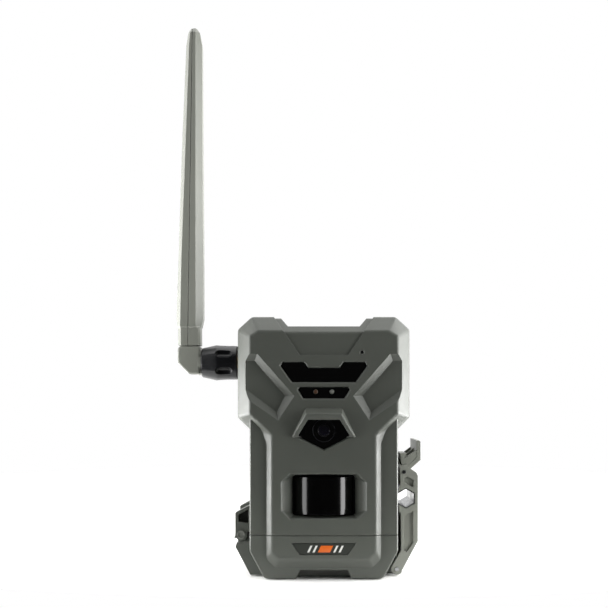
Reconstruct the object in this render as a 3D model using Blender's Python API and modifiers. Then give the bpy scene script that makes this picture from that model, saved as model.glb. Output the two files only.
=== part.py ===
"""Trail camera with a swivel antenna, a drop-down battery door and a side latch.

Frame: +Z up, the lens looks along -Y, the origin is the middle of the underside.
All dimensions are in millimetres and become metres as each mesh is made.
"""

import math

import bmesh
import bpy
from mathutils import Matrix, Vector

MM = 0.001
GAP = 0.3  # clearance between pieces that meet

# ---- driving dimensions ----------------------------------------------------------------------
BODY_HEIGHT = 130.0
UPPER_HALF_WIDTH = 43.0
LOWER_HALF_WIDTH = 36.7
WALL = 2.6

FACE_Y = -36.0  # raised front plateau
POCKET_Y = -33.0  # floors of the two side pockets
PANEL_Y = -33.4  # lower side panels
RIM_Y = -27.0  # front edge of the side walls
SPLIT_Y = -4.0  # front shell meets rear shell
BACK_Y = 30.0
RIB_Y = 38.0  # tips of the tree ribs

SEAM_Z = 21.75  # battery door meets the shells
DOOR_TOP = SEAM_Z - GAP / 2
SHELL_BOTTOM = SEAM_Z + GAP / 2

LENS_Z = 73.5
PIR_Z = 41.1
PIR_RADIUS = 18.5
HINGE_X, HINGE_Z = -41.6, 20.7
HINGE_FRONT_Y, HINGE_BACK_Y = -22.0, 20.0
PIN_RADIUS = 1.3

LATCH_X, LATCH_Z = 37.0, 3.2
LATCH_FRONT_Y, LATCH_BACK_Y = -22.0, 19.0
FLANGE = 2.4
HOOK_X, HOOK_Z = 40.6, 52.2
LOCK_X, LOCK_Z = 41.5, 39.0
SLEEVE_FLATS = 9.0  # the hexagonal sleeve through the lever
SLEEVE_BORE_FLATS = 8.1

ANTENNA_Y, ANTENNA_Z = -12.0, 107.7
STALK_X = -68.2  # middle of the antenna's neck
ELBOW_HALF = 6.05
ELBOW_TOP = 116.05
NECK_BOTTOM = 116.35
BLADE_TOP = 279.0
TILT_X, TILT_Z = -70.2, 105.7
NUT_LEFT, NUT_RIGHT = -62.4, -44.0

CELL_RADIUS = 7.1
CELL_HEIGHT = 50.5
CELL_BOTTOM = 14.0
TRAY_FRONT_Y, TRAY_BACK_Y = -3.4, 26.4

# ---- colours, sRGB -----------------------------------------------------------------------------
PALETTE = {
    "housing": ((0.30, 0.31, 0.285), 0.55, 0.0),
    "antenna": ((0.47, 0.48, 0.445), 0.5, 0.0),
    "grip": ((0.03, 0.03, 0.035), 0.5, 0.0),
    "window": ((0.01, 0.01, 0.012), 0.08, 0.0),
    "glass": ((0.08, 0.09, 0.12), 0.03, 0.0),
    "board": ((0.05, 0.25, 0.12), 0.45, 0.0),
    "steel": ((0.72, 0.72, 0.72), 0.3, 1.0),
    "brass": ((0.80, 0.62, 0.28), 0.3, 1.0),
    "rubber": ((0.05, 0.05, 0.05), 0.8, 0.0),
    "cell": ((0.12, 0.12, 0.13), 0.35, 0.0),
    "black": ((0.04, 0.04, 0.045), 0.6, 0.0),
    "white": ((0.75, 0.75, 0.72), 0.5, 0.0),
    "badge": ((0.16, 0.17, 0.155), 0.5, 0.0),
}


# ---- scene and materials -----------------------------------------------------------------------
for old in list(bpy.data.objects):
    bpy.data.objects.remove(old, do_unlink=True)

PARTS = bpy.data.collections.new("trail_camera")
bpy.context.scene.collection.children.link(PARTS)


def linear(value):
    """sRGB channel to linear."""
    return value / 12.92 if value <= 0.04045 else ((value + 0.055) / 1.055) ** 2.4


def make_material(name):
    """A Principled material from the palette."""
    colour, roughness, metallic = PALETTE[name]
    material = bpy.data.materials.new(name)
    material.use_nodes = True
    shader = material.node_tree.nodes["Principled BSDF"]
    shader.inputs["Base Color"].default_value = (*[linear(c) for c in colour], 1.0)
    shader.inputs["Roughness"].default_value = roughness
    shader.inputs["Metallic"].default_value = metallic
    return material


MATERIALS = {name: make_material(name) for name in PALETTE}


# ---- shape helpers -----------------------------------------------------------------------------
def from_bmesh(name, bm):
    """A linked object whose mesh is bm, scaled from millimetres to metres."""
    bmesh.ops.recalc_face_normals(bm, faces=bm.faces)
    bmesh.ops.scale(bm, vec=(MM, MM, MM), verts=bm.verts)
    mesh = bpy.data.meshes.new(name)
    bm.to_mesh(mesh)
    bm.free()
    obj = bpy.data.objects.new(name, mesh)
    PARTS.objects.link(obj)
    return obj


def prism(outline, low, high, axis="Y"):
    """A closed outline of (a, b) points pushed along an axis. The outline is (x, z) for Y, (x, y) for Z and
    (y, z) for X."""
    place = {
        "Y": lambda a, b: (a, low, b),
        "Z": lambda a, b: (a, b, low),
        "X": lambda a, b: (low, a, b),
    }[axis]
    step = {"Y": (0, 1, 0), "Z": (0, 0, 1), "X": (1, 0, 0)}[axis]
    bm = bmesh.new()
    face = bm.faces.new([bm.verts.new(place(a, b)) for a, b in outline])
    pushed = bmesh.ops.extrude_face_region(bm, geom=[face])
    moved = [v for v in pushed["geom"] if isinstance(v, bmesh.types.BMVert)]
    bmesh.ops.translate(bm, vec=Vector(step) * (high - low), verts=moved)
    return from_bmesh("prism", bm)


def loft(rings):
    """A solid through rings of (x, y, z) points, all with the same number of points."""
    bm = bmesh.new()
    loops = [[bm.verts.new(point) for point in ring] for ring in rings]
    bm.faces.new(loops[0])
    bm.faces.new(loops[-1])
    count = len(loops[0])
    walls = []
    for lower, upper in zip(loops, loops[1:]):
        for i in range(count):
            j = (i + 1) % count
            walls.append(bm.faces.new((lower[i], lower[j], upper[j], upper[i])))
    bmesh.ops.connect_verts_nonplanar(bm, angle_limit=0.0005, faces=walls)
    return from_bmesh("loft", bm)


def box(low, high):
    """A box between two corners."""
    bm = bmesh.new()
    bmesh.ops.create_cube(bm, size=1.0)
    size = Vector(high) - Vector(low)
    bmesh.ops.scale(bm, vec=size, verts=bm.verts)
    bmesh.ops.translate(bm, vec=(Vector(low) + Vector(high)) / 2, verts=bm.verts)
    return from_bmesh("box", bm)


TURNS = {
    "X": Matrix.Rotation(math.pi / 2, 3, "Y"),
    "Y": Matrix.Rotation(-math.pi / 2, 3, "X"),
    "Z": Matrix.Identity(3),
}


def cylinder(centre, radius, low, high, axis="Y", segments=24, top_radius=None, turn=0.0):
    """A cylinder or cone between low and high along an axis; centre holds the other two coordinates."""
    bm = bmesh.new()
    end = radius if top_radius is None else top_radius
    bmesh.ops.create_cone(
        bm, cap_ends=True, segments=segments, radius1=radius, radius2=end, depth=high - low
    )
    bmesh.ops.rotate(bm, matrix=Matrix.Rotation(turn, 3, "Z"), verts=bm.verts)
    bmesh.ops.rotate(bm, matrix=TURNS[axis], verts=bm.verts)
    middle = (low + high) / 2
    a, b = centre
    offset = {"X": (middle, a, b), "Y": (a, middle, b), "Z": (a, b, middle)}[axis]
    bmesh.ops.translate(bm, vec=offset, verts=bm.verts)
    return from_bmesh("cylinder", bm)


def turned(profile, centre, axis="Z", segments=24, ring=False):
    """A turned solid from (radius, height) points, made with a Screw modifier; ring closes the profile."""
    bm = bmesh.new()
    points = [bm.verts.new((r, 0, h)) for r, h in profile]
    for a, b in zip(points, points[1:]):
        bm.edges.new((a, b))
    if ring:
        bm.edges.new((points[-1], points[0]))
    obj = from_bmesh("turned", bm)
    screw = obj.modifiers.new("Screw", "SCREW")
    screw.steps = screw.render_steps = segments
    screw.use_merge_vertices = True
    screw.merge_threshold = 0.00001
    bake(obj)
    turn = TURNS[axis].to_4x4()
    obj.data.transform(Matrix.Translation(Vector(centre) * MM) @ turn)
    bm = bmesh.new()
    bm.from_mesh(obj.data)
    bmesh.ops.recalc_face_normals(bm, faces=bm.faces)
    bm.to_mesh(obj.data)
    bm.free()
    return obj


def bake(obj):
    """Replaces an object's mesh by its evaluated mesh and drops its modifiers."""
    bpy.context.view_layer.update()
    graph = bpy.context.evaluated_depsgraph_get()
    mesh = bpy.data.meshes.new_from_object(obj.evaluated_get(graph))
    obj.modifiers.clear()
    obj.data = mesh


def combine(target, operation, *tools):
    """Joins, cuts or intersects target with each tool, and removes the tools."""
    for tool in tools:
        modifier = target.modifiers.new("Boolean", "BOOLEAN")
        modifier.operation = operation
        modifier.solver = "EXACT"
        modifier.object = tool
        bake(target)
        bpy.data.objects.remove(tool, do_unlink=True)
    return target


def join(target, *tools):
    """Boolean union."""
    return combine(target, "UNION", *tools)


def cut(target, *tools):
    """Boolean difference."""
    return combine(target, "DIFFERENCE", *tools)


def keep(target, *tools):
    """Boolean intersection."""
    return combine(target, "INTERSECT", *tools)


def copy_of(obj):
    """A second object with its own mesh."""
    twin = bpy.data.objects.new(obj.name, obj.data.copy())
    PARTS.objects.link(twin)
    return twin


def soften(obj, width, angle=35.0, segments=1):
    """Rounds the edges sharper than angle degrees with an applied Bevel."""
    bevel = obj.modifiers.new("Bevel", "BEVEL")
    bevel.width = width * MM
    bevel.segments = segments
    bevel.limit_method = "ANGLE"
    bevel.angle_limit = math.radians(angle)
    bake(obj)
    bm = bmesh.new()
    bm.from_mesh(obj.data)
    bmesh.ops.remove_doubles(bm, verts=bm.verts, dist=0.000005)
    bmesh.ops.connect_verts_nonplanar(bm, angle_limit=0.0005, faces=bm.faces)
    bm.to_mesh(obj.data)
    bm.free()
    return obj


def finish(obj, name, material, pivot=(0.0, 0.0, 0.0)):
    """Names the piece, gives it its material, shades it and puts its origin on pivot."""
    obj.name = name
    obj.data.name = name
    obj.data.materials.clear()
    obj.data.materials.append(MATERIALS[material])
    origin = Vector(pivot) * MM
    obj.data.transform(Matrix.Translation(-origin))
    obj.location = origin
    obj.data.shade_smooth()
    obj.data.set_sharp_from_angle(angle=math.radians(30))
    return obj


def mirrored(points):
    """Right-hand (x, z) points, top to bottom, closed through their mirror images."""
    return points + [(-x, z) for x, z in reversed(points)]


def hexagon(x, z, flats):
    """A hexagon in (x, z) with a corner up, from its size across flats."""
    reach = flats / math.sqrt(3)
    return [
        (x + reach * math.sin(math.radians(60 * i)), z + reach * math.cos(math.radians(60 * i)))
        for i in range(6)
    ]


def arc(x, z, radius, start, end, count):
    """count + 1 points along an arc, in degrees anticlockwise from +X."""
    angles = [math.radians(start + (end - start) * i / count) for i in range(count + 1)]
    return [(x + radius * math.cos(a), z + radius * math.sin(a)) for a in angles]


# ---- outlines of the casing, as (x, z) ----------------------------------------------------------
SILHOUETTE = mirrored(
    [
        (35.9, BODY_HEIGHT),
        (UPPER_HALF_WIDTH, 123.7),
        (UPPER_HALF_WIDTH, 79.8),
        (LOWER_HALF_WIDTH, 73.9),
        (LOWER_HALF_WIDTH, 13.7),
        (29.8, 0.9),
        (28.2, 0.0),
    ]
)
LOWER = mirrored([(LOWER_HALF_WIDTH, 90.0), (LOWER_HALF_WIDTH, 13.7), (29.8, 0.9), (28.2, 0.0)])
MASK_BASE = [(35.9, -28.4, 130.0), (43.0, RIM_Y, 123.7), (43.0, RIM_Y, 79.8)]
MASK_BASE += [(28.7, -33.0, 66.3), (28.7, -33.0, 9.4), (24.2, -33.0, 4.9)]
MASK_TOP = [(32.1, 122.5), (36.6, 119.7), (36.6, 81.8), (25.7, 71.6), (25.7, 13.6), (22.0, 9.9)]
NOTCH = mirrored([(22.6, 131.0), (21.9, 130.0), (17.8, 125.0)])
BADGE_ZONE = mirrored([(25.9, 131.5), (12.0, 110.7)])
POCKET_RIM = [(50.0, 110.8), (33.0, 110.8), (15.1, 90.5), (22.6, 79.2), (50.0, 97.8)]
POCKET_FLOOR = [(50.0, 107.8), (34.2, 107.8), (19.1, 90.5), (23.3, 82.5), (50.0, 102.6)]
FLASH = mirrored([(20.3, 107.2), (21.4, 105.2), (15.6, 97.2)])
FLASH_STEP = [(-9.7, 107.2), (-7.7, 104.4), (7.7, 104.4), (9.7, 107.2)]
SENSOR = mirrored([(11.9, 94.9), (12.8, 93.5), (10.1, 89.2)])
LENS_PANE = [(8.2, 79.6), (13.6, 70.8), (0.0, 63.9), (-13.6, 70.8), (-8.2, 79.6)]
PIR_RIM = mirrored([(16.6, 52.0), (20.6, 48.1), (20.6, 34.1), (16.6, 30.2)])
PIR_THROAT = mirrored([(14.4, 50.9), (15.1, 50.2), (15.1, 32.0), (14.4, 31.3)])
DOOR_BADGE = mirrored([(16.0, 18.2), (11.8, 12.3)])


def inset(outline, distance):
    """The outline moved inwards by distance, corner by corner; the outline may run either way."""
    area = sum(a[0] * b[1] - b[0] * a[1] for a, b in zip(outline, outline[1:] + outline[:1]))
    side = distance if area > 0 else -distance
    result = []
    for before, here, after in zip(outline[-1:] + outline[:-1], outline, outline[1:] + outline[:1]):
        first = (Vector(here) - Vector(before)).normalized()
        second = (Vector(after) - Vector(here)).normalized()
        normal = Vector((-first.y - second.y, first.x + second.x))
        normal.normalize()
        scale = side / max(0.3, normal.dot(Vector((-first.y, first.x))))
        result.append((here[0] + normal.x * scale, here[1] + normal.y * scale))
    return result


FLASH_OUTLINE = FLASH + FLASH_STEP


def lift(points, y):
    """(x, z) points placed at depth y."""
    return [(x, y, z) for x, z in points]


def front_form(shift=0.0):
    """The solid outer form ahead of the split, with the raised X-shaped mask; shift moves the mask back."""
    base = MASK_BASE + [(-x, y, z) for x, y, z in reversed(MASK_BASE)]
    top = lift(mirrored(MASK_TOP), FACE_Y)
    back = [(x, SPLIT_Y + 3.0, z) for x, y, z in base]
    rings = [back, [(x, y + shift, z - shift) for x, y, z in base]]
    rings.append([(x, y + shift, z - shift) for x, y, z in top])
    return soften(loft(rings), 1.0, 20.0, 3)


def lower_form():
    """The narrower lower casing, from its front panels to the split, with broken front edges."""
    block = prism(LOWER, PANEL_Y, SPLIT_Y + 1.0)
    return soften(block, 1.0, 20.0, 3)


def casing_front():
    """Front shell and the front of the door as one solid, before they are parted at the seam."""
    form = join(front_form(), lower_form())
    keep(form, box((-60, -60, -10), (60, SPLIT_Y - GAP / 2, 140)))
    cut(form, prism(NOTCH, -60, 0))
    for side in (1, -1):
        rim = [(x * side, FACE_Y - 0.5, z) for x, z in inset(POCKET_RIM, -1.0)]
        face = [(x * side, FACE_Y + 0.5, z) for x, z in POCKET_RIM]
        floor = [(x * side, POCKET_Y, z) for x, z in POCKET_FLOOR]
        cut(form, loft([rim, face, floor]))
    badge_zone = cut(prism(BADGE_ZONE, -60, -10), front_form(0.7))
    cut(form, badge_zone)
    return form


def lens_hood():
    """The visor over the lens: proud at the top, running out into the face down its two arms."""
    base = [(-9.0, -35.0, 84.9), (9.0, -35.0, 84.9), (16.0, -35.0, 70.2), (-16.0, -35.0, 70.2)]
    tip = [(-8.7, -43.0, 81.7), (8.7, -43.0, 81.7), (15.5, -37.2, 70.2), (-15.5, -37.2, 70.2)]
    return soften(loft([base, tip]), 0.7, 30.0, 2)


def flared(outline, depth, lead=0.5):
    """A cutter for a recess with straight walls and a chamfered rim in the plateau."""
    rings = [(inset(outline, -lead - 0.5), FACE_Y - 0.5), (outline, FACE_Y + lead), (outline, FACE_Y + depth)]
    return loft([lift(points, y) for points, y in rings])


def window_seat(outline, depth, lip=1.6):
    """Cutters for a stepped window opening: a seat of the given depth and a smaller through hole."""
    seat = flared(outline, depth)
    hole = prism(inset(outline, lip), FACE_Y - 12, FACE_Y + 9)
    return seat, hole


def add_front_shell(form):
    """The front casing above the seam."""
    shell = join(form, lens_hood())
    keep(shell, box((-60, -60, SHELL_BOTTOM), (60, 10, 140)))
    cut(shell, *window_seat(FLASH_OUTLINE, 2.3), *window_seat(SENSOR, 2.3, 0.7))
    cut(shell, *window_seat(LENS_PANE, 3.0, 0.7))
    funnel = [lift(inset(PIR_RIM, -1.0), FACE_Y - 0.5), lift(PIR_RIM, FACE_Y + 0.5), lift(PIR_THROAT, -28.0)]
    cut(shell, loft(funnel), cylinder((18.8, 112.0), 0.8, -40, -20, segments=16))
    cut(shell, box((-40.2, -25.2, 76.5), (40.2, 10, 122.2)), box((-35.4, -30.2, 76.5), (35.4, 0, 120.0)))
    cut(shell, box((-34.0, -28.6, 0), (34.0, 10, 77.5)))
    side = front_lug(HINGE_FRONT_Y, HINGE_FRONT_Y + 7.0)
    join(shell, side, box((36.0, -15.0, 56.6), (38.5, -6.0, 59.8)))
    cut(shell, pin_bore(PIN_RADIUS + 0.08, -40, 0))
    cut(shell, cylinder((ANTENNA_Y, ANTENNA_Z), 3.4, -60, -30, axis="X"))
    for x, z in SCREW_PLACES:
        join(shell, cylinder((x, z), 3.0, -26.0, SPLIT_Y - GAP / 2 - 2.4, segments=12))
        cut(shell, cylinder((x, z), 1.25, -20.0, 5, segments=12))
    return finish(shell, "front_shell", "housing")


SCREW_PLACES = [(-36.6, 118.2), (36.6, 118.2), (-36.6, 84.4), (36.6, 84.4)]


def front_lug(low, high):
    """A hinge lug beside the casing: a boss on the hinge axis under a strut with a weight-saving pocket."""
    strut = [(-36.0, 36.2), (-36.0, 22.2), (-39.6, 22.2), (-40.0, 20.7), (-44.6, 20.7), (-44.6, 31.6)]
    lug = prism(strut, low, high)
    pocket = [(-38.0, 33.4), (-38.0, 26.4), (-43.0, 27.2), (-43.0, 30.7)]
    cut(lug, prism(pocket, low - 1, low + 6.0))
    join(lug, cylinder((-44.6, 19.3), 0.55, low, high, segments=12))
    return join(lug, cylinder((HINGE_X, HINGE_Z), 3.1, low, high, segments=32))


def pin_bore(radius, low, high):
    """A cutter along the door's hinge axis."""
    return cylinder((HINGE_X, HINGE_Z), radius, low, high, segments=16)


def rear_form(low_z, high_z):
    """The outer form behind the split between two heights, with its back edges drawn in."""
    bevel_y = BACK_Y - 7.0
    sections = [(SILHOUETTE, SPLIT_Y - 4.0), (SILHOUETTE, bevel_y), (inset(SILHOUETTE, 4.5), BACK_Y)]
    form = soften(loft([lift(outline, y) for outline, y in sections]), 1.0, 20.0, 3)
    keep(form, box((-60, SPLIT_Y + GAP / 2, low_z), (60, 60, high_z)))
    return cut(form, prism(NOTCH, -10, 60))


def tree_rib(side):
    """A toothed rib that bites the trunk, with a slot for the mounting strap."""
    outer = [(BACK_Y - 1.0, 112.0), (33.0, 112.0), (RIB_Y, 106.0)]
    teeth = []
    pitch = 6.0
    for i in range(12):
        top = 106.0 - pitch * i
        teeth += [(RIB_Y - 2.2, top - pitch * 0.65), (RIB_Y, top - pitch)]
    inner = [(33.0, 28.0), (BACK_Y - 1.0, 28.0)]
    outline = outer + teeth + inner
    low, high = sorted((side * 22.0, side * 27.0))
    rib = prism(outline, low, high, axis="X")
    return cut(rib, box((low - 1, 30.2, 57.0), (high + 1, 35.0, 85.0)))


def add_rear_shell():
    """The rear casing: battery bay, tree ribs, tripod boss and rear hinge lug."""
    shell = rear_form(SHELL_BOTTOM, 140)
    cut(shell, box((-33.8, -20, 0), (33.8, 22.6, 77.5)), box((-31.3, 20, 0), (31.3, 27.0, 77.5)))
    cut(shell, box((-38.6, -20, 76.5), (38.6, 24.0, 122.2)))
    join(shell, tree_rib(1), tree_rib(-1))
    join(shell, cylinder((0, 100.0), 9.0, 25.0, 33.0, segments=32))
    cut(shell, cylinder((0, 100.0), 4.6, 23.9, 40, segments=24))
    join(shell, front_lug(HINGE_BACK_Y - 7.0, HINGE_BACK_Y))
    cut(shell, pin_bore(PIN_RADIUS + 0.08, 0, 40))
    for x, z in SCREW_PLACES:
        join(shell, cylinder((x, z), 3.6, SPLIT_Y + GAP / 2, 25.0, segments=12))
        cut(shell, cylinder((x, z), 1.6, -10, 40, segments=12), cylinder((x, z), 3.0, 2.0, 40, segments=12))
    return finish(shell, "rear_shell", "housing")


def add_shell_seal():
    """The ring that closes the joint between the two shells, in a groove behind the screws."""
    outer = mirrored([(33.0, 126.6), (41.0, 121.0), (41.0, 80.8), (36.0, 76.2)])
    ring = prism(outer, SPLIT_Y - 0.1, SPLIT_Y + 0.1)
    inner = mirrored([(32.4, 125.6), (40.5, 120.4), (40.5, 81.4), (35.6, 77.4)])
    cut(ring, prism(inner, SPLIT_Y - 1, SPLIT_Y + 1))
    return finish(ring, "shell_seal", "rubber")


# ---- windows and optics --------------------------------------------------------------------------
def add_windows():
    """The flash, sensor and lens panes and the motion sensor's lens."""
    flash = prism(inset(FLASH_OUTLINE, 0.35), FACE_Y + 0.5, FACE_Y + 2.0)
    finish(flash, "flash_window", "window")
    sensor = prism(inset(SENSOR, 0.35), FACE_Y + 0.5, FACE_Y + 2.0)
    cut(sensor, *[cylinder((x, 92.6), 1.35, -40, -20, segments=16) for x in (-4.0, 4.0)])
    finish(sensor, "sensor_window", "window")
    pane = prism(inset(LENS_PANE, 0.35), FACE_Y + 1.2, FACE_Y + 2.7)
    finish(pane, "lens_window", "window")

    centre_y = -28.4 + math.sqrt(PIR_RADIUS**2 - 14.7**2)
    half = math.degrees(math.asin(14.7 / PIR_RADIUS))
    outer = arc(0, centre_y, PIR_RADIUS, -90 - half, -90 + half, 14)
    inner = arc(0, centre_y, PIR_RADIUS - 1.2, -90 + half, -90 - half, 14)
    bowl = prism(outer + inner, 31.9, 50.3, axis="Z")
    plug = [prism(outer, low, low + 1.2, axis="Z") for low in (31.9, 49.1)]
    flange = box((-17.6, -28.3, 29.8), (17.6, -27.1, 52.4))
    cut(flange, box((-13.4, -40, 33.0), (13.4, 0, 49.2)))
    join(bowl, *plug, flange)
    return finish(bowl, "pir_lens", "window")


def add_optics():
    """Lens barrel, its glass and the image sensor on the main board."""
    barrel = cylinder((0, LENS_Z), 5.0, -32.4, -25.0, segments=32)
    join(barrel, cylinder((0, LENS_Z), 7.0, -27.6, -19.0, segments=32))
    join(barrel, box((-8.5, -19.5, LENS_Z - 8.5), (8.5, -11.6, LENS_Z + 8.5)))
    cut(barrel, cylinder((0, LENS_Z), 4.3, -33.0, -22.0, segments=32))
    cut(barrel, box((-5.5, -21.0, LENS_Z - 5.5), (5.5, -10.0, LENS_Z + 5.5)))
    cut(barrel, cylinder((0, LENS_Z), 3.6, -33.0, -15.0, segments=24))
    finish(barrel, "lens_barrel", "black")
    profile = [(0, 0), (0, -4.0), (4.0, -4.0), (4.0, 0.0), (3.2, 1.0), (1.7, 1.7), (0, 1.9)][1:]
    glass = turned([(r, -h) for r, h in profile], (0, -28.6, LENS_Z), axis="Y", segments=32)
    finish(glass, "lens_glass", "glass")
    finish(box((-4.0, -12.9, LENS_Z - 4.0), (4.0, -11.6, LENS_Z + 4.0)), "image_sensor", "window")


def add_electronics():
    """Boards, flash diodes, sensors, microphone and the aerial lead."""
    board = box((-31.0, -11.3, 27.0), (31.0, -9.7, 118.0))
    for x, z in [(-31.0, 118.0), (31.0, 118.0)]:
        cut(board, cylinder((x, z), 4.0, -20, 0, segments=16))
    finish(board, "main_board", "board")
    finish(box((-21.0, -27.6, 88.0), (21.0, -26.4, 108.5)), "flash_board", "board")
    for i, x in enumerate((-12.0, -4.0, 4.0, 12.0), 1):
        profile = [(0, 5.0), (1.0, 4.6), (1.8, 3.0), (1.8, 0.4), (2.0, 0.4), (2.0, 0.0), (0, 0)]
        diode = turned(profile, (x, 0, 0), axis="Y", segments=12)
        diode.data.transform(Matrix.Scale(-1, 4, (0, 1, 0)))
        diode.data.flip_normals()
        diode.data.transform(Matrix.Translation((0, -27.8 * MM, 100.8 * MM)))
        finish(diode, f"flash_diode_{i}", "glass")
    for name, x in (("light_sensor", -4.0), ("status_diode", 4.0)):
        finish(cylinder((x, 92.6), 1.0, -35.4, -27.8, segments=16), name, "white")
    can = cylinder((0, PIR_Z), 4.6, -21.0, -11.5, segments=24)
    join(can, cylinder((0, PIR_Z), 5.3, -12.6, -11.5, segments=24))
    finish(can, "motion_sensor", "steel")
    finish(cylinder((18.8, 112.0), 3.0, -29.8, -27.0, segments=16), "microphone", "black")
    finish(box((-33.4, -7.2, 23.2), (33.4, -5.7, 75.5)), "bay_divider", "black")


def add_aerial_socket():
    """The threaded bulkhead socket and the lead from it to the main board."""
    socket = cylinder((ANTENNA_Y, ANTENNA_Z), 3.1, -52.4, -37.0, axis="X")
    join(socket, cylinder((ANTENNA_Y, ANTENNA_Z), 5.0, -43.7, -43.2, axis="X"))
    cut(socket, cylinder((ANTENNA_Y, ANTENNA_Z), 1.6, -54.0, -46.0, axis="X", segments=12))
    finish(socket, "aerial_socket", "brass")
    locknut = cylinder((ANTENNA_Y, ANTENNA_Z), 5.6, -40.0, -37.8, axis="X", segments=6)
    cut(locknut, cylinder((ANTENNA_Y, ANTENNA_Z), 3.25, -50, -30, axis="X"))
    finish(locknut, "socket_locknut", "brass")

    route = [(-36.6, ANTENNA_Y, ANTENNA_Z), (-33.0, -12.2, 107.3), (-29.0, -14.0, 104.0)]
    route += [(-26.0, -15.5, 99.0), (-25.0, -15.6, 95.0), (-24.5, -14.0, 91.5), (-24.5, -11.7, 91.0)]
    curve = bpy.data.curves.new("aerial_lead", "CURVE")
    curve.dimensions = "3D"
    curve.bevel_depth = 0.7 * MM
    curve.bevel_resolution = 2
    curve.use_fill_caps = True
    spline = curve.splines.new("POLY")
    spline.points.add(len(route) - 1)
    for point, place in zip(spline.points, route):
        point.co = (*[c * MM for c in place], 1.0)
    lead = bpy.data.objects.new("aerial_lead", curve)
    PARTS.objects.link(lead)
    curve.materials.append(MATERIALS["black"])


# ---- battery bay -----------------------------------------------------------------------------------
def add_batteries():
    """The pull-out tray with its eight cells and the contact board above it."""
    top = CELL_BOTTOM + CELL_HEIGHT
    tray = box((-30.6, TRAY_FRONT_Y, CELL_BOTTOM - 2.8), (30.6, TRAY_BACK_Y, CELL_BOTTOM - 0.4))
    lid = box((-30.6, TRAY_FRONT_Y, top + 1.6), (30.6, TRAY_BACK_Y, top + 4.0))
    right = box((29.3, TRAY_FRONT_Y, CELL_BOTTOM - 2), (30.9, TRAY_BACK_Y, top + 3))
    left = box((-30.9, TRAY_FRONT_Y, CELL_BOTTOM - 2), (-29.3, TRAY_BACK_Y, top + 3))
    pull = box((-9.0, 9.0, 6.5), (9.0, 14.0, CELL_BOTTOM - 2))
    cut(pull, box((-6.5, 8, 7.9), (6.5, 15, CELL_BOTTOM - 2.9)))
    join(tray, right, left, lid, pull)
    finish(tray, "battery_tray", "black")

    number = 0
    for row, y in enumerate((TRAY_FRONT_Y + 7.45, TRAY_FRONT_Y + 22.35)):
        for column in range(4):
            number += 1
            x = (column - 1.5) * 14.6
            up = (row + column) % 2 == 0
            profile = [(0, 50.5), (2.6, 50.5), (2.6, 49.3), (6.6, 49.3), (CELL_RADIUS, 48.8)]
            profile += [(CELL_RADIUS, 0.5), (6.6, 0.0), (0, 0)]
            if not up:
                profile = [(r, CELL_HEIGHT - h) for r, h in reversed(profile)]
            cell = turned(profile, (x, y, CELL_BOTTOM), segments=20)
            finish(cell, f"cell_{number}", "cell")
    board = box((-29.0, TRAY_FRONT_Y + 0.6, top + 4.3), (29.0, TRAY_BACK_Y - 0.6, top + 5.9))
    finish(board, "contact_board", "board")


def add_control_panel():
    """The panel inside the door: power button, card slot and the card in it."""
    panel = box((-33.4, -28.2, SHELL_BOTTOM + 0.2), (33.4, -7.6, SHELL_BOTTOM + 2.2))
    cut(panel, cylinder((14.0, -18.0), 3.3, 0, 40, axis="Z"), box((-24.4, -19.3, 0), (-12.6, -16.7, 40)))
    finish(panel, "control_panel", "black")
    button = cylinder((14.0, -18.0), 3.0, SHELL_BOTTOM - 0.5, SHELL_BOTTOM + 3.4, axis="Z")
    join(button, cylinder((14.0, -18.0), 3.8, SHELL_BOTTOM + 2.5, SHELL_BOTTOM + 3.4, axis="Z"))
    finish(button, "power_button", "rubber")
    slot = box((-26.5, -20.2, SHELL_BOTTOM + 2.5), (-10.5, -15.8, SHELL_BOTTOM + 16.0))
    cut(slot, box((-24.6, -18.7, 0), (-12.4, -17.3, SHELL_BOTTOM + 14.6)))
    finish(slot, "card_slot", "steel")
    card = box((-24.0, -18.4, SHELL_BOTTOM - 0.4), (-13.0, -17.6, SHELL_BOTTOM + 11.6))
    finish(card, "memory_card", "black")


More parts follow.
